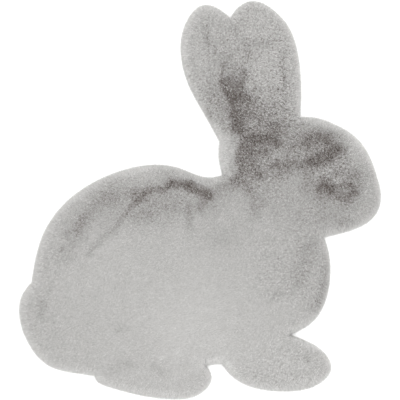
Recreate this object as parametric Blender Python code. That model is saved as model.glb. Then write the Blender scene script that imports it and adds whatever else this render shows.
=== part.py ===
"""A children's rug cut to the outline of a sitting rabbit, with a short, dense plush pile.

It is one piece of pile cloth, lying flat and face up. The solid reaches as far as the pile tips do: a level
underside, a rim that bulges where the pile splays over the cut edge, and a softly uneven top with the shallow
troughs that a hand leaves when it brushes the pile.

Metres, +Z up, ears towards +Y and nose towards +X. The origin is under the middle of the rug, on the floor.
"""

import math
from collections import namedtuple

import bmesh
import bpy
import numpy as np
from mathutils import Vector, noise
from mathutils.geometry import delaunay_2d_cdt

MM = 0.001

# Driving sizes
RUG_LENGTH = 0.900  # from the ear tips to the soles, along Y
PILE_TOP = 0.020  # pile tips above the floor, away from the rim
RIM_HEIGHT = 0.006  # the pile reaches furthest out at this height
RIM_RUN = 0.018  # how far in from the outline the pile stands full height
UNDERCUT = 0.004  # the cut edge of the backing lies this far in from the outline
LUMP_SIZE = 0.085  # from one soft lump to the next
LUMP_HEIGHT = 0.0014

# How finely the solid is faceted
OUTLINE_STEP = 0.009
TOP_STEP = 0.018
RIM_INSETS = (0.0012, 0.0045, 0.0095, 0.017)  # rings of points, this far in from the outline

# Rings below the widest line, down to the floor
RimRing = namedtuple("RimRing", "inset height")
UNDERSIDE_RINGS = (
    RimRing(0.3 * UNDERCUT, 0.35 * RIM_HEIGHT),
    RimRing(UNDERCUT, 0),
)

# The outline, clockwise from the notch between the ears, in millimetres from the middle of the rug. Each lobe
# is a smooth curve through its points, from its start to the start of the next lobe.
Lobe = namedtuple("Lobe", "name start through")
OUTLINE = (
    Lobe("far ear", (68, 411), ((91, 440), (121, 450), (160, 433), (199, 392), (222, 322), (228, 258))),
    Lobe(
        "head",
        (226, 188),
        ((261, 186), (304, 171), (344, 148), (376, 111), (399, 54), (408, 2), (397, -32), (348, -66)),
    ),
    Lobe("chest", (280, -84), ((290, -117), (294, -162), (284, -225), (256, -273))),
    Lobe(
        "fore paw",
        (205, -304),
        ((246, -321), (283, -348), (296, -379), (270, -414), (198, -432), (119, -423), (74, -400)),
    ),
    Lobe("belly", (48, -371), ((31, -371),)),
    Lobe(
        "hind foot",
        (14, -374),
        ((26, -401), (2, -436), (-63, -450), (-149, -438), (-216, -419), (-232, -411)),
    ),
    Lobe("tail", (-240, -397), ((-280, -391), (-344, -373), (-389, -322), (-409, -250), (-403, -216))),
    Lobe(
        "back",
        (-381, -186),
        ((-374, -142), (-353, -73), (-312, -13), (-234, 44), (-164, 71), (-110, 80), (-46, 72), (22, 51)),
    ),
    Lobe("nape", (50, 56), ((41, 100),)),
    Lobe("near ear", (43, 132), ((3, 204), (-25, 256), (-44, 330), (-39, 383), (10, 441), (52, 425))),
)

# Pile that was brushed the other way lies lower, in soft troughs. All in millimetres.
BrushMark = namedtuple("BrushMark", "name start end half_width depth")
BRUSH_MARKS = (
    BrushMark("ear root", (59, 283), (90, 186), 15, 2.0),
    BrushMark("nape", (86, 177), (99, 73), 18, 1.6),
    BrushMark("crown", (124, 136), (176, 154), 20, 1.8),
    BrushMark("brow", (232, 156), (302, 122), 15, 1.8),
    BrushMark("under brow", (307, 113), (192, 79), 13, 1.6),
    BrushMark("cheek", (271, 30), (339, 19), 14, 1.7),
    BrushMark("withers", (-63, 46), (18, 14), 9, 2.0),
    BrushMark("back crease", (-79, 37), (-163, -11), 8, 1.5),
    BrushMark("haunch", (-199, 23), (-312, -85), 24, 1.0),
    BrushMark("chest", (221, -103), (253, -225), 28, 0.8),
)

PLUSH_COLOUR = (0.515, 0.509, 0.497, 1)  # warm light grey, linear
PLUSH_ROUGHNESS = 0.95


def spline_through(points, step):
    """A natural cubic spline through the points, read about every step along it, without its last point."""
    points = np.array(points, float)
    count = len(points)
    chords = np.linalg.norm(np.diff(points, axis=0), axis=1)
    knots = np.concatenate([[0], np.cumsum(chords)])
    system = np.eye(count)
    change = np.zeros_like(points)
    for i in range(1, count - 1):
        system[i, i - 1 : i + 2] = chords[i - 1], 2 * (chords[i - 1] + chords[i]), chords[i]
        slope_before = (points[i] - points[i - 1]) / chords[i - 1]
        slope_after = (points[i + 1] - points[i]) / chords[i]
        change[i] = 6 * (slope_after - slope_before)
    bend = np.linalg.solve(system, change)

    places = np.linspace(0, knots[-1], max(2, round(knots[-1] / step)) + 1)[:-1]
    span = np.searchsorted(knots, places, side="right") - 1
    chord = chords[span][:, None]
    past = places[:, None] - knots[span][:, None]
    left = chord - past
    start = points[span] / chord - bend[span] * chord / 6
    end = points[span + 1] / chord - bend[span + 1] * chord / 6
    return (bend[span] * left**3 + bend[span + 1] * past**3) / (6 * chord) + start * left + end * past


def rabbit_outline():
    """The closed outline as points in metres, clockwise from above, about the middle of its box."""
    lobes = []
    for lobe, following in zip(OUTLINE, OUTLINE[1:] + OUTLINE[:1]):
        points = (lobe.start, *lobe.through, following.start)
        lobes.append(spline_through(np.array(points) * MM, OUTLINE_STEP))
    loop = np.concatenate(lobes)
    low, high = loop.min(axis=0), loop.max(axis=0)
    return (loop - (low + high) / 2) * RUG_LENGTH / (high - low)[1]


def moved_in(loop, inset):
    """The loop's points moved into the rug, square to the outline."""
    along = np.roll(loop, -1, axis=0) - np.roll(loop, 1, axis=0)
    along /= np.linalg.norm(along, axis=1)[:, None]
    inwards = np.stack([along[:, 1], -along[:, 0]], axis=1)
    return loop + inset * inwards


def distance_to_loop(points, loop):
    """How far each point is from the closed loop."""
    run = np.roll(loop, -1, axis=0) - loop
    offset = points[:, None] - loop
    share = np.clip((offset * run).sum(axis=2) / (run**2).sum(axis=1), 0, 1)
    return np.linalg.norm(offset - share[:, :, None] * run, axis=2).min(axis=1)


def inside_loop(points, loop):
    """Whether each point is inside the closed loop: a line to its right then crosses an odd number of edges."""
    x, y = points[:, None, 0], points[:, None, 1]
    start_x, start_y = loop.T
    end_x, end_y = np.roll(loop, -1, axis=0).T
    spans = (start_y > y) != (end_y > y)
    rise = np.where(end_y == start_y, 1, end_y - start_y)
    crossing_x = start_x + (y - start_y) / rise * (end_x - start_x)
    return (spans & (x < crossing_x)).sum(axis=1) % 2 == 1


def ring_points(loop, inset):
    """Points that far in from the outline, fewer where a tight bend would crowd them."""
    ring = moved_in(loop, inset)
    ring = ring[distance_to_loop(ring, loop) > 0.97 * inset]
    spread = [ring[0]]
    for point in ring[1:]:
        if np.linalg.norm(point - spread[-1]) > 0.45 * OUTLINE_STEP:
            spread.append(point)
    return spread


def middle_points(loop):
    """A staggered grid of points over the rug, inside its innermost ring."""
    low, high = loop.min(axis=0), loop.max(axis=0)
    rows = np.arange(low[1], high[1], TOP_STEP * math.sqrt(3) / 2)
    grid = []
    for row, y in enumerate(rows):
        stagger = TOP_STEP / 2 * (row % 2)
        grid.extend((x, y) for x in np.arange(low[0] + stagger, high[0], TOP_STEP))
    grid = np.array(grid)
    clear_of_ring = distance_to_loop(grid, loop) > RIM_INSETS[-1] + TOP_STEP / 2
    return grid[inside_loop(grid, loop) & clear_of_ring]


def trough_depth(x, y):
    """How far the brushed pile lies below the rest at a place."""
    place = Vector((x, y))
    depth = 0
    for mark in BRUSH_MARKS:
        start, end = Vector(mark.start) * MM, Vector(mark.end) * MM
        run = end - start
        share = min(max((place - start).dot(run) / run.length_squared, 0), 1)
        away = (place - start - share * run).length / (mark.half_width * MM)
        depth = max(depth, mark.depth * MM * math.exp(-(away**2)))
    return depth


def pile_height(x, y, inset):
    """Height of the pile tips at a place that far in from the outline."""
    share = min(inset / RIM_RUN, 1)
    crown = (PILE_TOP - RIM_HEIGHT) * math.sqrt(1 - (1 - share) ** 2)
    lump = LUMP_HEIGHT * noise.noise(Vector((x, y, 0)) / LUMP_SIZE)
    return RIM_HEIGHT + crown + share * (lump - trough_depth(x, y))


def pile_rug_mesh():
    """The rug as one closed mesh: the top, the bulging rim and the level underside."""
    loop = rabbit_outline()
    count = len(loop)
    rings = [point for inset in RIM_INSETS for point in ring_points(loop, inset)]
    plan = [Vector(point) for point in (*loop, *rings, *middle_points(loop))]
    loop_edges = [(i, (i + 1) % count) for i in range(count)]
    inside_triangles, merge_distance = 1, 1e-7
    placed, _, triangles, *_ = delaunay_2d_cdt(
        plan, loop_edges, [list(range(count))], inside_triangles, merge_distance
    )

    bm = bmesh.new()
    insets = distance_to_loop(np.array(placed), loop)
    top = [bm.verts.new((x, y, pile_height(x, y, inset))) for (x, y), inset in zip(placed, insets)]
    for corners in triangles:
        bm.faces.new([top[i] for i in corners])
    upper = top[:count]
    for ring in UNDERSIDE_RINGS:
        lower = [bm.verts.new((x, y, ring.height)) for x, y in moved_in(loop, ring.inset)]
        for i, j in loop_edges:
            bm.faces.new((upper[i], upper[j], lower[j], lower[i]))
        upper = lower
    bm.faces.new(upper)
    bmesh.ops.recalc_face_normals(bm, faces=bm.faces)
    bmesh.ops.triangulate(bm, faces=bm.faces)

    mesh = bpy.data.meshes.new("pile_rug")
    bm.to_mesh(mesh)
    bm.free()
    mesh.shade_smooth()
    mesh.set_sharp_from_angle(angle=math.radians(60))
    return mesh


def plush_material():
    """Short plush pile: matt and light grey."""
    material = bpy.data.materials.new("plush pile")
    material.use_nodes = True
    shader = material.node_tree.nodes["Principled BSDF"]
    shader.inputs["Base Color"].default_value = PLUSH_COLOUR
    shader.inputs["Roughness"].default_value = PLUSH_ROUGHNESS
    shader.inputs["Metallic"].default_value = 0
    return material


def main():
    for old in list(bpy.data.objects):
        bpy.data.objects.remove(old)
    rug = bpy.data.objects.new("pile_rug", pile_rug_mesh())
    rug.data.materials.append(plush_material())
    bpy.context.collection.objects.link(rug)


main()
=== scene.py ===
"""A rabbit-shaped plush rug for a child's room: its pile, tuft by tuft, over the closed pile and backing.

Laid out as a Blender add-on and run as a script. Metres, +Z up, ears towards +Y and nose towards +X. Brush
marks and other places on the rug are in millimetres from its middle.
"""

import math
from collections import namedtuple

import bmesh
import bpy
import numpy as np
from bpy.props import FloatProperty, FloatVectorProperty, PointerProperty
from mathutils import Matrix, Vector, kdtree, noise
from mathutils.bvhtree import BVHTree


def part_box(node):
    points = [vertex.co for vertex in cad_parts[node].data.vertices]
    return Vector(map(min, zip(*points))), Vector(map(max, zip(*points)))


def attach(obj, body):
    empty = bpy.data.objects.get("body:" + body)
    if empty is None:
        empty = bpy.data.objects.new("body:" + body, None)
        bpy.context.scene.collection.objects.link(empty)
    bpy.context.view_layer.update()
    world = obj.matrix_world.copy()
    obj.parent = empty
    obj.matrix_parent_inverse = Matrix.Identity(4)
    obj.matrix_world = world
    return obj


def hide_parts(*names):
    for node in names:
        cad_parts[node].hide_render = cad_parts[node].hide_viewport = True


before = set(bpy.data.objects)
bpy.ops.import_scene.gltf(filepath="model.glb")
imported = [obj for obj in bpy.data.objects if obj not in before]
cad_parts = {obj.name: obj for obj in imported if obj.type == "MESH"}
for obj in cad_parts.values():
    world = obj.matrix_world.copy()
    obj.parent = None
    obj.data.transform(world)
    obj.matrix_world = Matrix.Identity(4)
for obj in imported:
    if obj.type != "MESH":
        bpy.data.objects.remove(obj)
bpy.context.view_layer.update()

bl_info = {
    "name": "Rabbit Plush Rug",
    "version": (1, 0, 0),
    "blender": (4, 5, 0),
    "location": "3D Viewport > Sidebar > Rug",
    "description": "Dresses a rabbit-shaped rug with plush pile and lights it from above",
    "category": "Add Mesh",
}

MM = 0.001
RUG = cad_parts["pile_rug"]
RUG_LOW, RUG_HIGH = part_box("pile_rug")
RUG_WIDTH, RUG_LENGTH = (RUG_HIGH - RUG_LOW).xy

# The rim's cross-section, as the solid has it: a quarter ellipse above the widest line and one below
RIM_RUN, RIM_RISE = 18 * MM, 14 * MM
UNDERCUT, RIM_DROP = 4 * MM, 6 * MM

# Tufts stand in rows round the rim as far in as this, and in a lattice inside
LAST_RIM_INSET = 5 * MM
LOWEST_RIM_TURN = math.radians(-62)
LINE_STEP = 0.5 * MM  # from one point of the widest line to the next
PLACE_JITTER = 0.4  # how far a tuft may be off its mark in the lattice, in spacings

# The pile's tone runs from 0, painted light on the open tips at the rim, to 1, painted shade in the deepest
# specks
PALE_SHARE = 0.06  # laid smooth
HALF_SHARE = 0.32  # a little raised
DARK_SHARE = 0.81  # well raised
RAISED_GRAIN = 0.33  # how much more its tufts differ where the pile is raised

# The edges of brush marks wander, so that none looks drawn: lumps of this size shift them this far
WIDE_LUMP, WIDE_SHIFT = 18 * MM, 5 * MM
FINE_LUMP, FINE_SHIFT = 6 * MM, 2.2 * MM

# Soft mottling, stronger where the pile is half raised
WIDE_MOTTLE, FINE_MOTTLE = 20 * MM, 9 * MM
EVEN_MOTTLE, HALF_RAISED_MOTTLE = 0.03, 0.08

# The pile was stroked back from the nose, and swirls of this size swing that way by up to this many radians
STROKE_WAY = math.radians(205)
WIDE_SWIRL, WIDE_SWING = 120 * MM, 0.9
SMALL_SWIRL, SMALL_SWING = 14 * MM, 0.45

# How tufts differ, clump by clump and one by one. Ways and leans are in radians
CLUMP_SIZE = 4.2 * MM
CLUMP_SPECK, DEEP_SPECK, TUFT_SPECK = 2.4, 1.4, 0.9
CLUMP_MEAN_SQUARE = 0.07  # of the clumps' noise: without it the deep specks would darken the whole rug
WAY_SPREAD, RAISED_WAY_SPREAD = 0.22, 0.9
LEAN_SPREAD, CLUMP_LEAN = 0.10, 0.12
LEAN_LIMITS = (0.03, 1.15)
RADIUS_RANGE = (0.8, 1.2)
SHORTFALL = 0.9  # the shortest tuft ends this many millimetres under the pile's top

# How a tuft stands
RAISED_GAIN = 1.25  # pile stands as upright as it gets a little before it is fully raised
LEVEL_LEAN, LEAST_LEAN = 0.85, 0.25  # the shares of its lean that pile keeps where it faces level, and down
ROOT_DEPTH = 1.15  # in open depths, so that the foot of each tuft is hidden in the closed pile
ROOT_SHIFT = 0.85  # how far back the root goes, as a share of what the lean would give
TUFT_ROUNDNESS = 0.55  # how far a tuft is shaded as a thing of its own, rather than as part of the rug
FLOOR_GAP = 0.3 * MM  # no tuft comes nearer to the floor than this

# Near the rim the pile turns over the edge, and is smoother, ruffled, thinner and open at the tips, with
# painted light making it paler
SPLAY_REACH = 24 * MM  # how far in from the widest line this starts
SPLAY_CURVE = 1.3  # above 1, it starts slowly
RIM_SMOOTHNESS = np.array([[0.55], [0.8]])  # how much of its raised look and of its grain the pile loses
# Painted light at the rim: the tips' colour is made paler there for the light that gets in between them
RIM_LIGHT_GAIN = 2.5  # above 1, it is at its palest before it reaches the rim
RIM_RUFFLE, TURNING_RUFFLE = 0.25, 1.8  # at the rim, and where the stroked pile turns into hanging pile
RIM_THINNING = 0.15
RIM_REACH = (0.8, 2.8)  # how many millimetres tips reach outwards

MAP_STRIP = 0.004  # half the width of a face on its piece's map

# Where the photograph has the rug, in its pixels
PHOTO_SIDE_PX = 400
RUG_LENGTH_PX = 398.6
RUG_CENTRE_PX = (200.05, 200.2)

# Pile brushed against its lie stands up and shows its darker depth: partly its darker roots, partly painted
# shade of that depth. A mark is a stroke through its points; strength 1 is the darkest, and a higher edge is
# a crisper one.
BrushMark = namedtuple("BrushMark", "name path half_width strength edge")
EAR_MARKS = (
    BrushMark("near ear tip", ((6, 390), (12, 362), (16, 350)), 7, 0.20, 2),
    BrushMark("near ear crease", ((17, 398), (16, 360)), 2.5, 0.26, 2),
    BrushMark("near ear fold", ((32, 344), (34, 314)), 4, 0.20, 2),
    BrushMark("near ear line", ((17, 396), (15, 360), (20, 326), (20, 256), (26, 216)), 3, 0.13, 2),
    BrushMark("near ear low", ((32, 252), (38, 228), (48, 212)), 15, 0.24, 2),
    BrushMark("near ear speck", ((20, 226), (21, 222)), 4, 0.25, 2),
    BrushMark("between ears", ((72, 400), (78, 388), (84, 374)), 7, 0.12, 2),
    BrushMark("root line", ((50, 304), (52, 270)), 5, 0.35, 2),
    BrushMark("root haze", ((60, 306), (76, 288), (96, 284)), 22, 0.24, 2),
    BrushMark("root top", ((52, 264), (74, 268), (90, 260)), 11, 0.54, 3),
    BrushMark("root corner", ((48, 268), (52, 252), (58, 240)), 6, 0.50, 3),
    BrushMark("root middle", ((66, 248), (78, 233), (95, 232)), 17, 0.61, 3),
    BrushMark("root", ((74, 232), (77, 208), (80, 188), (84, 166)), 19, 0.66, 3),
    BrushMark("root right", ((104, 234), (110, 220), (108, 204)), 11, 0.46, 2),
    BrushMark("root spur", ((108, 230), (128, 230)), 5, 0.24, 2),
    BrushMark("root right line", ((100, 288), (98, 270), (94, 258)), 7, 0.42, 2),
    BrushMark("root low", ((70, 190), (98, 190)), 11, 0.44, 2),
    BrushMark("near ear side", ((-34, 306), (-8, 240), (14, 200)), 9, 0.16, 2),
    BrushMark("near ear foot", ((14, 198), (26, 180)), 9, 0.36, 2),
    BrushMark("root left", ((46, 172), (50, 158)), 9, 0.20, 2),
    BrushMark("root foot", ((86, 166), (92, 150)), 14, 0.50, 2),
    BrushMark("far ear patch", ((122, 250), (134, 246)), 8, 0.26, 2),
    BrushMark("far ear haze", ((104, 352), (104, 324)), 12, 0.22, 2),
    BrushMark("far ear upper", ((126, 350), (150, 354), (168, 360)), 12, 0.18, 2),
    BrushMark("far ear side", ((184, 330), (190, 282), (187, 262), (190, 240), (187, 204)), 5, 0.24, 2),
    BrushMark("far ear streak", ((189, 284), (190, 256)), 3.5, 0.26, 2),
    BrushMark("far ear speck", ((172, 252), (173, 248)), 4, 0.35, 2),
    BrushMark("far ear dot", ((186, 200), (187, 199)), 4, 0.36, 2),
    BrushMark("far ear middle", ((180, 336), (180, 300)), 9, 0.08, 2),
    BrushMark("far ear low", ((114, 204), (146, 206), (160, 204)), 20, 0.22, 2),
    BrushMark("far ear base", ((120, 184), (150, 172), (172, 168)), 19, 0.38, 2),
)
HEAD_MARKS = (
    BrushMark("crown", ((112, 136), (132, 136), (160, 138), (170, 130)), 13, 0.74, 3),
    BrushMark("crown upper", ((110, 155), (140, 152), (174, 158)), 12, 0.34, 2),
    BrushMark("crown lower", ((110, 112), (144, 110)), 15, 0.48, 2),
    BrushMark("neck edge", ((92, 126), (90, 108), (88, 88)), 10, 0.54, 3),
    BrushMark("neck side", ((72, 138), (71, 126)), 6, 0.18, 2),
    BrushMark("neck", ((108, 110), (112, 98), (118, 80)), 17, 0.39, 2),
    BrushMark("neck tail", ((96, 82), (92, 62), (80, 48)), 8, 0.48, 2),
    BrushMark("neck haze", ((110, 70), (126, 60)), 16, 0.26, 2),
    BrushMark("neck dot", ((132, 62), (132, 55)), 5, 0.50, 2),
    BrushMark("nape dot", ((98, 40), (104, 26)), 12, 0.36, 2),
    BrushMark("throat top", ((116, 54), (180, 54)), 14, 0.20, 2),
    BrushMark("nape haze", ((84, 44), (58, 34), (40, 22)), 13, 0.24, 2),
    BrushMark("brow", ((246, 140), (264, 146), (284, 142), (294, 128)), 15, 0.56, 3),
    BrushMark("brow front", ((232, 128), (242, 120)), 7, 0.48, 2),
    BrushMark("brow middle", ((200, 112), (216, 104)), 10, 0.18, 2),
    BrushMark("brow end", ((270, 136), (288, 130)), 9, 0.26, 2),
    BrushMark("brow hook", ((300, 122), (306, 114), (304, 102)), 6, 0.40, 2),
    BrushMark("brow haze", ((196, 136), (240, 120), (294, 104)), 24, 0.18, 2),
    BrushMark("under brow", ((314, 112), (292, 104), (268, 94), (250, 86)), 12, 0.72, 3),
    BrushMark("under brow low", ((288, 88), (258, 80)), 11, 0.48, 2),
    BrushMark("under brow tail", ((250, 84), (222, 80), (190, 80), (164, 78)), 12, 0.46, 2),
    BrushMark("under brow end", ((200, 66), (182, 62)), 8, 0.28, 2),
    BrushMark("temple", ((312, 92), (326, 82)), 18, 0.10, 2),
    BrushMark("cheek back", ((236, 62), (246, 50), (236, 28)), 13, 0.21, 2),
    BrushMark("cheek", ((270, 28), (294, 26)), 13, 0.74, 3),
    BrushMark("cheek upper", ((280, 50), (286, 36)), 9, 0.42, 2),
    BrushMark("cheek bridge", ((300, 26), (326, 34), (340, 32)), 7, 0.52, 2),
    BrushMark("cheek low", ((316, 8), (334, 6), (344, 16)), 12, 0.46, 2),
    BrushMark("cheek right", ((340, 36), (346, 16)), 9, 0.28, 2),
    BrushMark("cheek haze", ((270, 10), (310, 2), (332, -4)), 24, 0.24, 2),
    BrushMark("chin", ((312, -56), (340, -54)), 11, 0.16, 2),
    BrushMark("muzzle haze", ((352, 56), (356, 34), (352, 18)), 17, 0.24, 2),
    BrushMark("nose haze", ((344, 56), (366, 54)), 12, 0.20, 2),
    BrushMark("cheek top", ((304, 58), (328, 56)), 11, 0.24, 2),
    BrushMark("chin haze", ((270, -34), (316, -40)), 18, 0.12, 2),
    BrushMark("throat streak", ((118, 16), (122, -30)), 12, 0.20, 2),
    BrushMark("throat line", ((136, 10), (140, -20)), 7, 0.14, 2),
)
BODY_MARKS = (
    BrushMark("withers", ((-70, 35), (-46, 36), (-24, 32)), 10, 0.72, 3),
    BrushMark("withers right", ((-26, 30), (-4, 20), (18, 12)), 13, 0.72, 3),
    BrushMark("withers deep", ((6, 22), (16, 8)), 6, 0.30, 2),
    BrushMark("withers foot", ((12, 4), (0, -20)), 13, 0.40, 2),
    BrushMark("withers left", ((-102, 22), (-76, 26)), 9, 0.36, 2),
    BrushMark("back haze", ((-146, 22), (-120, 24), (-80, 20)), 19, 0.17, 2),
    BrushMark("crease top", ((-112, 22), (-128, 12), (-142, 0)), 8, 0.38, 2),
    BrushMark("crease", ((-144, -2), (-152, -12), (-162, -20)), 5, 0.52, 2),
    BrushMark("crease side", ((-152, 10), (-130, 16)), 13, 0.30, 2),
    BrushMark("crease low", ((-166, -30), (-178, -42), (-184, -54)), 8, 0.28, 2),
    BrushMark("crease end", ((-190, -60), (-222, -88), (-254, -122)), 8, 0.22, 2),
    BrushMark("under back", ((-136, -30), (-100, -24), (-44, -8)), 23, 0.20, 2),
    BrushMark("crease haze", ((-186, -24), (-226, -66)), 18, 0.09, 2),
    BrushMark("crease inner", ((-128, 4), (-110, -6)), 10, 0.20, 2),
    BrushMark("flank dot", ((-116, -36), (-112, -44)), 9, 0.10, 2),
    BrushMark("side haze", ((74, 28), (45, 2), (20, -26)), 15, 0.12, 2),
    BrushMark("side streak", ((-26, -6), (-24, -64)), 9, 0.22, 2),
    BrushMark("haunch", ((-204, 6), (-234, -14), (-260, -40), (-276, -70)), 23, 0.30, 2),
    BrushMark("haunch top", ((-190, 12), (-170, 12)), 11, 0.14, 2),
    BrushMark("haunch line", ((-262, -36), (-270, -54), (-278, -66)), 7, 0.26, 2),
    BrushMark("haunch dot", ((-298, -72), (-300, -80)), 8, 0.20, 2),
    BrushMark("rump haze", ((-290, -100), (-310, -130)), 18, 0.12, 2),
    BrushMark("rump dot", ((-310, -110), (-312, -116)), 5, 0.20, 2),
    BrushMark("tail dot", ((-354, -230), (-362, -256)), 10, 0.20, 2),
    BrushMark("tail root", ((-334, -196), (-344, -206)), 5, 0.18, 2),
    BrushMark("belly dash", ((-188, -290), (-168, -292)), 8, 0.10, 2),
    BrushMark("foot haze", ((-200, -380), (-170, -366), (-148, -376)), 10, 0.10, 2),
    BrushMark("sole haze", ((-104, -376), (-84, -392)), 9, 0.14, 2),
    BrushMark("shoulder", ((40, -90), (70, -90)), 20, 0.07, 2),
    BrushMark("throat low", ((222, -40), (236, -46)), 12, 0.08, 2),
    BrushMark("chest", ((240, -110), (236, -140), (220, -180)), 22, 0.17, 2),
    BrushMark("chest low", ((176, -214), (164, -222)), 9, 0.14, 2),
    BrushMark("chest rim", ((288, -140), (284, -180), (274, -220), (262, -246)), 12, 0.28, 2),
    BrushMark("chest edge", ((292, -176), (288, -200)), 10, 0.20, 2),
    BrushMark("paw dot", ((238, -354), (240, -362)), 4, 0.30, 2),
)

# A base shade for each part of the rug, and how far its tufts differ from each other, blended between them
BaseShade = namedtuple("BaseShade", "name place reach shade grain")
BASE_SHADES = (
    BaseShade("near ear", (-10, 340), 70, 0.17, 0.13),
    BaseShade("near ear tip", (12, 424), 30, 0.11, 0.12),
    BaseShade("near ear low", (20, 230), 50, 0.24, 0.14),
    BaseShade("between ears", (66, 340), 36, 0.25, 0.20),
    BaseShade("far ear tip", (160, 390), 60, 0.15, 0.20),
    BaseShade("far ear", (160, 300), 60, 0.17, 0.21),
    BaseShade("far ear low", (170, 215), 45, 0.30, 0.30),
    BaseShade("far ear rim", (218, 222), 24, 0.08, 0.10),
    BaseShade("nape", (56, 110), 26, 0.13, 0.05),
    BaseShade("head back", (135, 80), 45, 0.38, 0.20),
    BaseShade("head top", (270, 172), 26, 0.12, 0.06),
    BaseShade("forehead", (210, 130), 50, 0.38, 0.17),
    BaseShade("brow", (300, 70), 45, 0.34, 0.20),
    BaseShade("nose", (370, 60), 40, 0.16, 0.09),
    BaseShade("nose top", (374, 120), 30, 0.02, 0.06),
    BaseShade("muzzle", (355, -30), 50, 0.18, 0.09),
    BaseShade("throat", (190, 14), 70, 0.27, 0.07),
    BaseShade("under chin", (250, -56), 45, 0.23, 0.09),
    BaseShade("chest right", (250, -160), 50, 0.195, 0.11),
    BaseShade("chest", (170, -160), 50, 0.195, 0.11),
    BaseShade("throat low", (164, -84), 40, 0.16, 0.07),
    BaseShade("shoulder", (56, -70), 60, 0.19, 0.04),
    BaseShade("body", (60, -170), 60, 0.115, 0.032),
    BaseShade("belly", (-10, -280), 90, 0.025, 0.028),
    BaseShade("belly right", (130, -280), 60, 0.10, 0.04),
    BaseShade("fore paw", (190, -380), 70, 0.105, 0.13),
    BaseShade("back", (-110, -10), 60, 0.25, 0.08),
    BaseShade("back rim", (-130, 62), 28, 0.12, 0.06),
    BaseShade("flank", (-90, -140), 80, 0.125, 0.036),
    BaseShade("haunch", (-230, -150), 70, 0.12, 0.04),
    BaseShade("rump", (-320, -110), 50, 0.20, 0.06),
    BaseShade("rump low", (-280, -260), 60, 0.15, 0.025),
    BaseShade("tail", (-350, -290), 50, 0.19, 0.06),
    BaseShade("tail low", (-300, -360), 40, 0.14, 0.05),
    BaseShade("thigh", (-180, -300), 60, 0.115, 0.036),
    BaseShade("hind foot", (-150, -390), 50, 0.11, 0.04),
    BaseShade("sole", (-60, -420), 50, 0.09, 0.05),
)

# The pile is made as one mesh for each of these places: a tuft belongs to the nearest
PILE_PLACES = {
    "pile_ears": (90, 330),
    "pile_head": (250, 60),
    "pile_chest": (150, -190),
    "pile_back": (-80, -60),
    "pile_rump": (-300, -150),
    "pile_feet": (-60, -350),
}


def linear(hex_colour):
    """A colour written as sRGB hex, as linear RGB with full alpha."""
    channels = [int(hex_colour[i : i + 2], 16) / 255 for i in (0, 2, 4)]
    return (*(c / 12.92 if c <= 0.04045 else ((c + 0.055) / 1.055) ** 2.4 for c in channels), 1)


class RugPile(bpy.types.PropertyGroup):
    """How the pile is set and how it lies."""

    spacing: FloatProperty(
        name="Tuft spacing",
        description="From one tuft to the next over the whole rug",
        default=1.52 * MM,
        unit="LENGTH",
    )
    tuft_radius: FloatProperty(
        name="Tuft radius",
        description="Half the width of a tuft where it leaves the closed pile",
        default=0.95 * MM,
        unit="LENGTH",
    )
    open_depth: FloatProperty(
        name="Open depth",
        description="How far the eye sees into the pile before it closes up",
        default=4.4 * MM,
        unit="LENGTH",
    )
    laid_lean: FloatProperty(
        name="Lean of laid pile",
        description="How far smooth pile leans from upright",
        default=math.radians(42),
        subtype="ANGLE",
    )
    raised_lean: FloatProperty(
        name="Lean of raised pile",
        description="How far brushed-up pile leans from upright",
        default=math.radians(20),
        subtype="ANGLE",
    )
    rim_lean: FloatProperty(
        name="Lean over the rim",
        description="How far the pile at the cut edge hangs down from square to the rim",
        default=math.radians(36),
        subtype="ANGLE",
    )


class RugColours(bpy.types.PropertyGroup):
    """The colours of the pile and its backing."""

    # Painted light: the rim's tips are coloured paler for the light that gets in between them
    painted_rim_light: FloatVectorProperty(
        name="Splayed pile",
        description="The palest tips, where light gets in between them at the rim",
        subtype="COLOR",
        size=4,
        default=linear("E6E5E3"),
    )
    laid: FloatVectorProperty(
        name="Laid pile",
        description="The pile where it lies smooth",
        subtype="COLOR",
        size=4,
        default=linear("D5D4D2"),
    )
    # Partly painted shade: a little raised pile shows a little of its depth
    half_raised: FloatVectorProperty(
        name="Half raised pile",
        description="The pile where it is a little raised, still as neutral as laid pile",
        subtype="COLOR",
        size=4,
        default=linear("BBBAB8"),
    )
    # Partly the roots' darker colour, partly painted shade of the pile's depth that shows where it stands up
    raised: FloatVectorProperty(
        name="Raised pile",
        description="The pile where it was brushed up",
        subtype="COLOR",
        size=4,
        default=linear("7A706B"),
    )
    # Painted shade: where raised pile parts, the eye sees down into its shade
    parted_shade: FloatVectorProperty(
        name="Parted pile",
        description="The deepest specks, where raised pile parts",
        subtype="COLOR",
        size=4,
        default=linear("4D4643"),
    )
    backing: FloatVectorProperty(
        name="Backing",
        description="The cloth under the pile",
        subtype="COLOR",
        size=4,
        default=linear("B9B5AE"),
    )


class RugStudio(bpy.types.PropertyGroup):
    """The floor, the light and the camera."""

    camera_height: FloatProperty(
        name="Camera height",
        description="From the floor to the lens, straight above the rug",
        default=3.2,
        unit="LENGTH",
    )
    floor: FloatVectorProperty(
        name="Floor",
        description="The colour of the floor",
        subtype="COLOR",
        size=4,
        default=linear("F6F6F5"),
    )
    key_power: FloatProperty(
        name="Key light",
        description="Watts of the soft light above the rug",
        default=21.5,
    )
    sky: FloatProperty(
        name="Fill light",
        description="Strength of the even light from all round",
        default=1.505,
    )


def merged_rug():
    """The solid rug as a bmesh, with its loose triangles joined up."""
    bm = bmesh.new()
    bm.from_mesh(RUG.data)
    bmesh.ops.remove_doubles(bm, verts=bm.verts, dist=0.01 * MM)
    return bm


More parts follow.
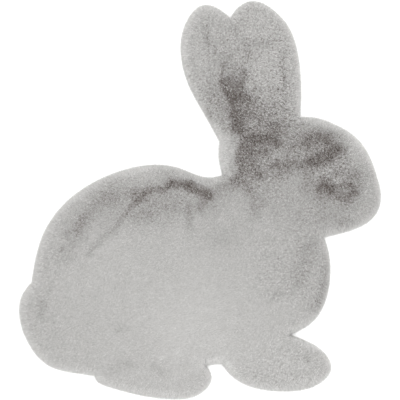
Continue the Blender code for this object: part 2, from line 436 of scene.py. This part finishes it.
def rim_line(bm):
    """The rug's widest line as evenly spaced points, the level way out at each, and the line's height."""
    first = max(bm.verts, key=lambda vert: vert.co.y)
    level = first.co.z
    as_level, well_below = 0.5 * MM, level - 1 * MM
    on_line = {vert for vert in bm.verts if abs(vert.co.z - level) < as_level}
    edges = {
        edge
        for edge in bm.edges
        if on_line.issuperset(edge.verts)
        and min(vert.co.z for face in edge.link_faces for vert in face.verts) < well_below
    }
    line = [first]
    while edges:
        ways_on = [edge for edge in line[-1].link_edges if edge in edges]
        edge = max(ways_on, key=lambda way: way.other_vert(line[-1]).co.x)
        edges.remove(edge)
        line.append(edge.other_vert(line[-1]))
    corners = np.array([vert.co.xy for vert in line])
    run = np.concatenate([[0], np.cumsum(np.linalg.norm(np.diff(corners, axis=0), axis=1))])
    at = np.arange(0, run[-1], LINE_STEP)
    points = np.stack([np.interp(at, run, corners[:, i]) for i in (0, 1)], axis=1)
    steps_either_side = 6
    along = unit(np.roll(points, -steps_either_side, axis=0) - np.roll(points, steps_either_side, axis=0))
    out = np.stack([-along[:, 1], along[:, 0]], axis=1)
    return points, out, level


def nearest_on(line, points):
    """For each point, which point of the line is nearest and how far it is."""
    tree = kdtree.KDTree(len(line))
    for i, (x, y) in enumerate(line):
        tree.insert((x, y, 0), i)
    tree.balance()
    found = [tree.find((x, y, 0))[1:] for x, y in points]
    return np.array([i for i, _ in found]), np.array([gap for _, gap in found])


def unit(vectors):
    """The vectors, each one long."""
    return vectors / np.linalg.norm(vectors, axis=-1, keepdims=True)


def noise_at(points, size, layer):
    """Smooth noise of about -1 to 1 at each point, in lumps of that size. Each layer is a different one."""
    return np.array([noise.noise((x / size, y / size, layer)) for x, y in points[:, :2]])


def distance_to_path(points, path):
    """How far each point is from a path of straight runs."""
    nearest = np.full(len(points), np.inf)
    for start, end in zip(path[:-1], path[1:]):
        run = end - start
        share = np.clip((points - start) @ run / (run @ run), 0, 1)
        nearest = np.minimum(nearest, np.linalg.norm(points - start - share[:, None] * run, axis=1))
    return nearest


def raised_share(points):
    """How far the pile is raised at each point, from 0, laid smooth, to 1, brushed up, and how far its tufts
    differ there."""
    wide = np.stack([noise_at(points, WIDE_LUMP, layer) for layer in (1, 2)], axis=1)
    fine = np.stack([noise_at(points, FINE_LUMP, layer) for layer in (7, 8)], axis=1)
    warped = points + WIDE_SHIFT * wide + FINE_SHIFT * fine
    least_weight = 1e-6
    weights = np.full(len(points), least_weight)
    base = np.zeros((len(points), 2))
    for part in BASE_SHADES:
        away = np.linalg.norm(points - np.array(part.place) * MM, axis=1) / (part.reach * MM)
        weight = np.exp(-(away**2))
        weights += weight
        base += weight[:, None] * (part.shade, part.grain)
    base, grain = (base / weights[:, None]).T
    smooth = 1 - base
    for mark in (*EAR_MARKS, *HEAD_MARKS, *BODY_MARKS):
        away = distance_to_path(warped, np.array(mark.path) * MM) / (mark.half_width * MM)
        smooth *= 1 - mark.strength * np.exp(-(away**mark.edge))
    raised = 1 - smooth
    mottle = noise_at(points, WIDE_MOTTLE, 9) + noise_at(points, FINE_MOTTLE, 10)
    mottled = raised + mottle * (EVEN_MOTTLE + HALF_RAISED_MOTTLE * raised * (1 - raised))
    return np.array([mottled, grain + RAISED_GRAIN * raised])


def brush_way(points):
    """The way the pile was last stroked, as an angle from +X: back from the nose, in wide soft swirls."""
    swirl = noise_at(points, WIDE_SWIRL, 5) * WIDE_SWING + noise_at(points, SMALL_SWIRL, 6) * SMALL_SWING
    return STROKE_WAY + swirl


def lattice(spacing, rng):
    """Places all over the rug's box in staggered rows, each put a little off its mark."""
    rows = np.arange(RUG_LOW.y, RUG_HIGH.y, spacing * math.sqrt(3) / 2)
    places = []
    for row, y in enumerate(rows):
        xs = np.arange(RUG_LOW.x + spacing / 2 * (row % 2), RUG_HIGH.x, spacing)
        places.append(np.stack([xs, np.full(len(xs), y)], axis=1))
    places = np.concatenate(places)
    return places + rng.uniform(-PLACE_JITTER, PLACE_JITTER, places.shape) * spacing


def rim_turns(spacing, last_inset):
    """Angles round the rim's cross-section, a spacing apart, from under the widest line up to that inset."""
    turns = [LOWEST_RIM_TURN]
    stop = math.acos(1 - last_inset / RIM_RUN)
    while turns[-1] < stop:
        turn = turns[-1]
        run, rise = (RIM_RUN, RIM_RISE) if turn > 0 else (UNDERCUT, RIM_DROP)
        turns.append(turn + spacing / math.hypot(run * math.sin(turn), rise * math.cos(turn)))
    return turns


Tufts = namedtuple("Tufts", "tips facing over_rim splay")


def tuft_places(spacing, rng):
    """Where each tuft ends, which way the rug's surface faces there, the way down over the rim along that
    surface, and how far the tuft is splayed that way, from 0 inside the rug to 1 at its widest line."""
    bm = merged_rug()
    tree = BVHTree.FromBMesh(bm)
    line, out, level = rim_line(bm)
    bm.free()

    places = lattice(spacing, rng)
    nearest, inset = nearest_on(line, places)
    above = 1.0
    drops = [tree.ray_cast((x, y, above), (0, 0, -1))[0] for x, y in places]
    kept = np.array([drop is not None for drop in drops]) & (inset > LAST_RIM_INSET)
    tips = [np.array([drop for drop, keep in zip(drops, kept) if keep])]
    outs = [out[nearest[kept]]]
    insets = [inset[kept]]
    share = 1 - np.clip(inset[kept] / RIM_RUN, 0, 1)
    facing = [np.stack([share / RIM_RUN, np.sqrt(1 - share**2) / RIM_RISE], axis=1)]

    step = round(spacing / LINE_STEP)
    for row, turn in enumerate(rim_turns(spacing, LAST_RIM_INSET)):
        run, rise = (RIM_RUN, RIM_RISE) if turn > 0 else (UNDERCUT, RIM_DROP)
        row_out = out[row % 2 :: step]
        count = len(row_out)
        inset = run * (1 - math.cos(turn))
        height = np.full((count, 1), level + rise * math.sin(turn))
        at_rim = np.concatenate([line[row % 2 :: step] - inset * row_out, height], axis=1)
        tips.append(np.array([tree.find_nearest(place)[0] for place in at_rim]))
        outs.append(row_out)
        insets.append(np.full(count, inset if turn > 0 else 0))
        facing.append(np.tile([math.cos(turn) / run, math.sin(turn) / rise], (count, 1)))

    outs = np.concatenate(outs)
    out_share, up_share = unit(np.concatenate(facing)).T[:, :, None]
    splay = np.clip(1 - np.concatenate(insets) / SPLAY_REACH, 0, 1)
    return Tufts(
        tips=np.concatenate(tips),
        facing=np.concatenate([outs * out_share, up_share], axis=1),
        over_rim=np.concatenate([outs * up_share, -out_share], axis=1),
        splay=splay**SPLAY_CURVE,
    )


def tuft_pattern():
    """One upright tuft, a unit long and a unit in radius: a closed spike of three sides."""
    bm = bmesh.new()
    bmesh.ops.create_cone(bm, cap_ends=True, segments=3, radius1=1, radius2=0, depth=1)
    bmesh.ops.remove_doubles(bm, verts=bm.verts, dist=1e-4)
    bmesh.ops.translate(bm, verts=bm.verts, vec=(0, 0, 0.5))
    bm.verts.index_update()
    corners = np.array([vert.co for vert in bm.verts])
    triangles = np.array([[vert.index for vert in face.verts] for face in bm.faces])
    bm.free()
    return corners, triangles


def bake_map(corners, triangles, shade):
    """A map on which each face lies by its colour: across by the tuft's shade, and up by the way along the
    tuft. Each face is a narrow strip there, because one with no width would take no colour."""
    up = corners[:, 2][triangles]
    at_root = up < 0.5
    # A face's corners at the root are numbered from 1, and its tip is 0. Only the foot has a third
    turn = np.cumsum(at_root, axis=1) * at_root
    across = np.choose(turn, (0, -1, 1, 0)) * MAP_STRIP
    up = np.where(turn == 3, MAP_STRIP * 2, up)
    places = np.empty((len(shade), *up.shape, 2))
    places[..., 0] = shade[:, None, None] + across
    places[..., 1] = up
    return MAP_STRIP + places.reshape(-1, 2) * (1 - 2 * MAP_STRIP)


def tuft_shades(tufts, clump, rng):
    """How far the pile is raised at each tuft, and the tuft's tone: painted light near the rim, painted
    shade where the pile is raised and in its deepest specks, and tone that differs at random from tuft to
    tuft.
    """
    raised, grain = raised_share(tufts.tips[:, :2]) * (1 - RIM_SMOOTHNESS * tufts.splay**2)
    fleck = rng.normal(0, 1, len(raised))
    speck = CLUMP_SPECK * clump + DEEP_SPECK * (clump**2 - CLUMP_MEAN_SQUARE) + TUFT_SPECK * fleck
    # Painted light: tips near the rim are made paler, for the light that gets in between them
    rim_light_share = PALE_SHARE * np.minimum(RIM_LIGHT_GAIN * tufts.splay, 1)
    shade = PALE_SHARE - rim_light_share + (DARK_SHARE - PALE_SHARE) * (raised + grain * speck)
    return raised, np.clip(shade, 0, 1)


def over_surface(ways, facing):
    """The ways without their part that points out of the rug's surface."""
    return ways - (ways * facing).sum(axis=1, keepdims=True) * facing


def tuft_lie(tufts, raised, rng):
    """The way each tuft lies over the surface: inside the rug as the pile was stroked, and near the rim over
    the edge. Where those ways are opposite the pile is ruffled, so that no parting runs round the rug."""
    count = len(raised)
    splay = tufts.splay[:, None]
    way = brush_way(tufts.tips) + rng.normal(0, WAY_SPREAD, count)
    way = way + raised * rng.normal(0, RAISED_WAY_SPREAD, count)
    stroked = over_surface(np.stack([np.cos(way), np.sin(way), np.zeros(count)], axis=1), tufts.facing)
    ruffle = rng.normal(0, 1, (count, 3)) * (RIM_RUFFLE * splay + TURNING_RUFFLE * splay * (1 - splay))
    return stroked * (1 - splay) + tufts.over_rim * splay + over_surface(ruffle, tufts.facing)


def tuft_lean(tufts, raised, clump, rng):
    """How far each tuft leans from square to the surface."""
    pile = bpy.context.scene.rug_pile
    lean = pile.laid_lean + (pile.raised_lean - pile.laid_lean) * np.clip(raised * RAISED_GAIN, 0, 1)
    lean = lean + (pile.rim_lean - lean) * tufts.splay
    lean = lean * np.clip(LEVEL_LEAN + tufts.facing[:, 2], LEAST_LEAN, 1)
    return np.clip(lean + rng.normal(0, LEAN_SPREAD, len(lean)) + CLUMP_LEAN * clump, *LEAN_LIMITS)


def tuft_ends(tufts, lie, lean, rng):
    """The root and the tip of each tuft."""
    count = len(lean)
    length = bpy.context.scene.rug_pile.open_depth * ROOT_DEPTH
    reach = rng.uniform(-SHORTFALL, 0, (count, 1))
    reach = reach + tufts.splay[:, None] * rng.uniform(*RIM_REACH, (count, 1))
    root = tufts.tips - tufts.facing * length - lie * length * np.tan(lean)[:, None] * ROOT_SHIFT
    return root, tufts.tips + tufts.facing * reach * MM


def tuft_surface(corners, tufts, root, tip, rng):
    """Where the corners of each tuft are, and which way it is shaded as facing there."""
    count = len(root)
    along = corners[:, 2][None, :, None]
    centre = (1 - along) * root[:, None] + along * tip[:, None]
    axis = unit(tip - root)
    off_axis = (1e-4, 2e-4, 0)
    across = unit(np.cross(axis, tufts.facing + off_axis))
    through = np.cross(axis, across)
    spin = rng.uniform(0, 2 * math.pi, count)
    cos, sin = np.cos(spin)[:, None, None], np.sin(spin)[:, None, None]
    x, y = corners[:, 0][None, :, None], corners[:, 1][None, :, None]
    spoke = (x * cos - y * sin) * across[:, None] + (x * sin + y * cos) * through[:, None]
    thinned = 1 - RIM_THINNING * tufts.splay[:, None, None]
    radius = bpy.context.scene.rug_pile.tuft_radius * rng.uniform(*RADIUS_RANGE, (count, 1, 1)) * thinned
    places = centre + spoke * radius
    places[:, :, 2] = np.maximum(places[:, :, 2], FLOOR_GAP)
    return places, unit(tufts.facing[:, None] + spoke * TUFT_ROUNDNESS)


def pile_piece(name, tufts, rng, material):
    """One joined mesh of these tufts."""
    clump = noise_at(tufts.tips, CLUMP_SIZE, 3)
    raised, shade = tuft_shades(tufts, clump, rng)
    lie = tuft_lie(tufts, raised, rng)
    lean = tuft_lean(tufts, raised, clump, rng)
    root, tip = tuft_ends(tufts, lie, lean, rng)
    corners, triangles = tuft_pattern()
    places, normals = tuft_surface(corners, tufts, root, tip, rng)

    count, per_tuft = places.shape[:2]
    all_triangles = (triangles[None] + np.arange(count)[:, None, None] * per_tuft).reshape(-1, 3)
    mesh = bpy.data.meshes.new(name)
    mesh.from_pydata(places.reshape(-1, 3), [], all_triangles)
    mesh.materials.append(material)
    mesh.polygons.foreach_set("use_smooth", np.ones(len(all_triangles), bool))
    # The attribute raised holds each tuft's tone, with its painted light and painted shade
    for label, values in (
        ("raised", np.repeat(shade, per_tuft)),
        ("up_tuft", np.tile(corners[:, 2], count)),
    ):
        mesh.attributes.new(label, "FLOAT", "POINT").data.foreach_set("value", values)
    uv = mesh.uv_layers.new(name="OFBake")
    uv.data.foreach_set("uv", bake_map(corners, triangles, shade).ravel())
    mesh.normals_split_custom_set_from_vertices(normals.reshape(-1, 3))

    piece = bpy.data.objects.new(name, mesh)
    bpy.context.scene.collection.objects.link(piece)
    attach(piece, "root")
    return piece


def add_node(tree, kind, settings=None, **links):
    """Adds a node with its settings, and links or sets its inputs by name, with _ for a space."""
    node = tree.nodes.new(kind)
    for name, value in (settings or {}).items():
        setattr(node, name, value)
    for name, value in links.items():
        wanted = name.replace("_", " ").strip()
        socket = node.inputs[int(wanted)] if wanted.isdigit() else node.inputs[wanted]
        if isinstance(value, bpy.types.NodeSocket):
            tree.links.new(value, socket)
        else:
            socket.default_value = value
    return node


def new_material(name):
    """An empty node material and its surface output."""
    material = bpy.data.materials.new(name)
    material.use_nodes = True
    tree = material.node_tree
    tree.nodes.clear()
    return material, tree, tree.nodes.new("ShaderNodeOutputMaterial")


def pile_tone(tree):
    """The pile's colour by its tone: painted light at the rim, laid, half raised and raised, which are
    partly painted shade, and painted shade in the specks where the pile parts.
    """
    colours = bpy.context.scene.rug_colours
    raised = add_node(tree, "ShaderNodeAttribute", {"attribute_name": "raised"}).outputs["Fac"]
    tone = add_node(tree, "ShaderNodeValToRGB", None, Fac=raised)
    stops = tone.color_ramp.elements
    stops[0].color = colours.painted_rim_light
    stops[1].color = colours.parted_shade
    stops.new(PALE_SHARE).color = colours.laid
    stops.new(HALF_SHARE).color = colours.half_raised
    stops.new(DARK_SHARE).color = colours.raised
    return tone.outputs["Color"]


def plush_pile():
    """Polyester plush: matt, a little glossier at the fine tips than in the depth, with a faint sheen where
    the eye meets it at a slant, and painted darker towards the root, partly shade in the pile's depth and
    partly the roots' deeper colour."""
    material, tree, output = new_material("polyester plush pile")
    up_tuft = add_node(tree, "ShaderNodeAttribute", {"attribute_name": "up_tuft"}).outputs["Fac"]
    # Partly painted shade: the colour falls to seven tenths at the root, partly for shade in the pile,
    # partly the roots' own deeper colour
    depth = add_node(tree, "ShaderNodeMapRange", None, Value=up_tuft, To_Min=0.70, To_Max=1.0)
    colour = add_node(
        tree, "ShaderNodeVectorMath", {"operation": "SCALE"}, _0=pile_tone(tree), Scale=depth.outputs[0]
    )
    gloss = add_node(tree, "ShaderNodeMapRange", None, Value=up_tuft, To_Min=0.98, To_Max=0.82)
    shader = add_node(
        tree,
        "ShaderNodeBsdfPrincipled",
        None,
        Base_Color=colour.outputs[0],
        Roughness=gloss.outputs[0],
        Specular_IOR_Level=0.2,
        Sheen_Weight=0.05,
        Sheen_Roughness=0.5,
    )
    tree.links.new(shader.outputs[0], output.inputs["Surface"])
    return material


def closed_pile():
    """The pile below the tips, too close to see into: the same plush painted darker, as painted shade deep
    in the pile, grained by the roots of its fibres."""
    material, tree, output = new_material("closed plush pile")
    place = add_node(tree, "ShaderNodeTexCoord").outputs["Object"]
    fibre_clump = 1.5 * MM
    roots = add_node(tree, "ShaderNodeTexNoise", None, Vector=place, Scale=1 / fibre_clump, Detail=2.0)
    # Painted shade: the closed pile is half to seven tenths as bright as the tufts' colour, varied by its
    # fibres' roots
    grain = add_node(tree, "ShaderNodeMapRange", None, Value=roots.outputs[0], To_Min=0.5, To_Max=0.7)
    colour = add_node(
        tree, "ShaderNodeVectorMath", {"operation": "SCALE"}, _0=pile_tone(tree), Scale=grain.outputs[0]
    )
    bump = add_node(tree, "ShaderNodeBump", None, Height=roots.outputs[0], Strength=0.6, Distance=0.5 * MM)
    shader = add_node(
        tree,
        "ShaderNodeBsdfPrincipled",
        None,
        Base_Color=colour.outputs[0],
        Roughness=0.95,
        Specular_IOR_Level=0.1,
        Normal=bump.outputs[0],
    )
    tree.links.new(shader.outputs[0], output.inputs["Surface"])
    return material


def backing_cloth():
    """Knitted polyester backing: fine even rows of stitches."""
    colours = bpy.context.scene.rug_colours
    material, tree, output = new_material("knitted polyester backing")
    place = add_node(tree, "ShaderNodeTexCoord").outputs["Object"]
    row_spacing, stitch_spacing = 2.4 * MM, 1.5 * MM
    band_a_metre = 2 * math.pi / 20
    rows = add_node(
        tree,
        "ShaderNodeTexWave",
        {"wave_type": "BANDS", "bands_direction": "X"},
        Vector=place,
        Scale=band_a_metre / row_spacing,
        Distortion=0.6,
    )
    stitches = add_node(
        tree,
        "ShaderNodeTexWave",
        {"wave_type": "BANDS", "bands_direction": "Y"},
        Vector=place,
        Scale=band_a_metre / stitch_spacing,
        Distortion=0.6,
    )
    weave = add_node(
        tree, "ShaderNodeMath", {"operation": "MULTIPLY"}, _0=rows.outputs[1], _1=stitches.outputs[1]
    )
    tone = add_node(tree, "ShaderNodeMapRange", None, Value=weave.outputs[0], To_Min=0.8, To_Max=1.05)
    colour = add_node(tree, "ShaderNodeVectorMath", {"operation": "SCALE"}, Scale=tone.outputs[0])
    colour.inputs[0].default_value = colours.backing[:3]
    bump = add_node(tree, "ShaderNodeBump", None, Height=weave.outputs[0], Strength=0.5, Distance=0.4 * MM)
    shader = add_node(
        tree,
        "ShaderNodeBsdfPrincipled",
        None,
        Base_Color=colour.outputs[0],
        Roughness=0.9,
        Specular_IOR_Level=0.2,
        Normal=bump.outputs[0],
    )
    tree.links.new(shader.outputs[0], output.inputs["Surface"])
    return material


class RUG_OT_pile_bed(bpy.types.Operator):
    """Makes the closed pile and its backing, from the floor up to where the eye stops"""

    bl_idname = "rug.pile_bed"
    bl_label = "Pile Bed and Backing"

    def execute(self, context):
        depth = context.scene.rug_pile.open_depth
        bm = merged_rug()
        line, out, level = rim_line(bm)
        bm.normal_update()
        floor = 0.01 * MM
        lowered = [(vert, vert.co - vert.normal * depth) for vert in bm.verts if vert.co.z > floor]
        nearest, _ = nearest_on(line, [vert.co.xy for vert, _ in lowered])
        for (vert, place), index in zip(lowered, nearest):
            # The bed's side stands upright over the backing's edge, and above the widest line it is sunk
            if vert.co.z <= level:
                edge = line[index] - out[index] * UNDERCUT
                vert.co = (*edge, vert.co.z)
            else:
                vert.co = place
        bmesh.ops.triangulate(bm, faces=bm.faces)
        tops = [edge for edge in bm.edges if max(v.co.z for v in edge.verts) > level]
        bmesh.ops.subdivide_edges(bm, edges=tops, cuts=1, use_grid_fill=True)
        bmesh.ops.triangulate(bm, faces=bm.faces)
        bm.normal_update()
        down = -0.5
        for face in bm.faces:
            face.smooth = face.normal.z > down
            face.material_index = 1 if face.normal.z < down else 0
        mesh = bpy.data.meshes.new("pile_bed")
        bm.to_mesh(mesh)
        bm.free()
        places = np.array([vert.co for vert in mesh.vertices])
        raised = mesh.attributes.new("raised", "FLOAT", "POINT")
        # The bed's tone follows how raised the pile is above it: painted shade where it is raised
        shade = PALE_SHARE + (DARK_SHARE - PALE_SHARE) * raised_share(places[:, :2])[0]
        raised.data.foreach_set("value", shade)
        mesh.materials.append(closed_pile())
        mesh.materials.append(backing_cloth())
        bed = bpy.data.objects.new("pile_bed", mesh)
        context.scene.collection.objects.link(bed)
        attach(bed, "root")
        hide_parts("pile_rug")
        return {"FINISHED"}


class RUG_OT_plush_pile(bpy.types.Operator):
    """Sets the tufts all over the rug and round its rim, as one mesh for each part of the rabbit"""

    bl_idname = "rug.plush_pile"
    bl_label = "Plush Pile"

    def execute(self, context):
        rng = np.random.default_rng(7)
        tufts = tuft_places(context.scene.rug_pile.spacing, rng)
        places = np.array(list(PILE_PLACES.values())) * MM
        nearest = np.linalg.norm(tufts.tips[:, None, :2] - places, axis=2).argmin(axis=1)
        material = plush_pile()
        for index, name in enumerate(PILE_PLACES):
            here = Tufts(*(column[nearest == index] for column in tufts))
            pile_piece(name, here, rng, material)
        return {"FINISHED"}


def soft_light(name, place, size, watts):
    """A square soft box that faces the middle of the rug."""
    light = bpy.data.lights.new(name, "AREA")
    light.energy = watts
    light.size = size
    lamp = bpy.data.objects.new(name, light)
    lamp.location = place
    lamp.rotation_euler = (-Vector(place)).to_track_quat("-Z", "Y").to_euler()
    bpy.context.scene.collection.objects.link(lamp)


class RUG_OT_studio(bpy.types.Operator):
    """Lays a pale floor and sets soft light and a camera straight above the rug"""

    bl_idname = "rug.studio"
    bl_label = "Studio"

    def execute(self, context):
        studio = context.scene.rug_studio
        bm = bmesh.new()
        floor_radius = 9
        bmesh.ops.create_circle(bm, cap_ends=True, segments=96, radius=floor_radius)
        mesh = bpy.data.meshes.new("studio_floor")
        bm.to_mesh(mesh)
        bm.free()
        material, tree, output = new_material("matt paper floor")
        shader = add_node(tree, "ShaderNodeBsdfPrincipled", None, Roughness=0.9, Specular_IOR_Level=0.1)
        shader.inputs["Base Color"].default_value = studio.floor
        tree.links.new(shader.outputs[0], output.inputs["Surface"])
        mesh.materials.append(material)
        floor = bpy.data.objects.new("studio_floor", mesh)
        context.scene.collection.objects.link(floor)

        world = bpy.data.worlds.new("studio sky")
        world.use_nodes = True
        background = world.node_tree.nodes["Background"]
        background.inputs["Color"].default_value = (1, 1, 1, 1)
        background.inputs["Strength"].default_value = studio.sky
        context.scene.world = world
        soft_light("key_light", place=(-0.1, 0.15, 2.5), size=2.0, watts=studio.key_power)

        camera = bpy.data.cameras.new("camera")
        seen = RUG_LENGTH * PHOTO_SIDE_PX / RUG_LENGTH_PX
        camera.lens = camera.sensor_width * (studio.camera_height - RIM_DROP) / seen
        eye = bpy.data.objects.new("camera", camera)
        off_centre = [PHOTO_SIDE_PX / 2 - px for px in RUG_CENTRE_PX]
        pixel = seen / PHOTO_SIDE_PX
        eye.location = (off_centre[0] * pixel, -off_centre[1] * pixel, studio.camera_height)
        context.scene.collection.objects.link(eye)
        context.scene.camera = eye
        context.scene.view_settings.view_transform = "Standard"
        return {"FINISHED"}


class RUG_PT_panel(bpy.types.Panel):
    """The rug's sizes, colours and makers in the sidebar"""

    bl_label = "Rabbit Plush Rug"
    bl_idname = "RUG_PT_panel"
    bl_space_type = "VIEW_3D"
    bl_region_type = "UI"
    bl_category = "Rug"

    def draw(self, context):
        for name in ("rug_pile", "rug_colours", "rug_studio"):
            group = getattr(context.scene, name)
            box = self.layout.box()
            for key in group.bl_rna.properties.keys():
                if key not in ("rna_type", "name"):
                    box.prop(group, key)
        for maker in OPERATORS:
            self.layout.operator(maker.bl_idname)


OPERATORS = (RUG_OT_pile_bed, RUG_OT_plush_pile, RUG_OT_studio)
GROUPS = {"rug_pile": RugPile, "rug_colours": RugColours, "rug_studio": RugStudio}


def register():
    for group in GROUPS.values():
        bpy.utils.register_class(group)
    for name, group in GROUPS.items():
        setattr(bpy.types.Scene, name, PointerProperty(type=group))
    for maker in (*OPERATORS, RUG_PT_panel):
        bpy.utils.register_class(maker)


def unregister():
    for maker in reversed((*OPERATORS, RUG_PT_panel)):
        bpy.utils.unregister_class(maker)
    for name, group in GROUPS.items():
        delattr(bpy.types.Scene, name)
        bpy.utils.unregister_class(group)


def main():
    register()
    bpy.ops.rug.pile_bed()
    bpy.ops.rug.plush_pile()
    bpy.ops.rug.studio()


if __name__ == "__main__":
    main()
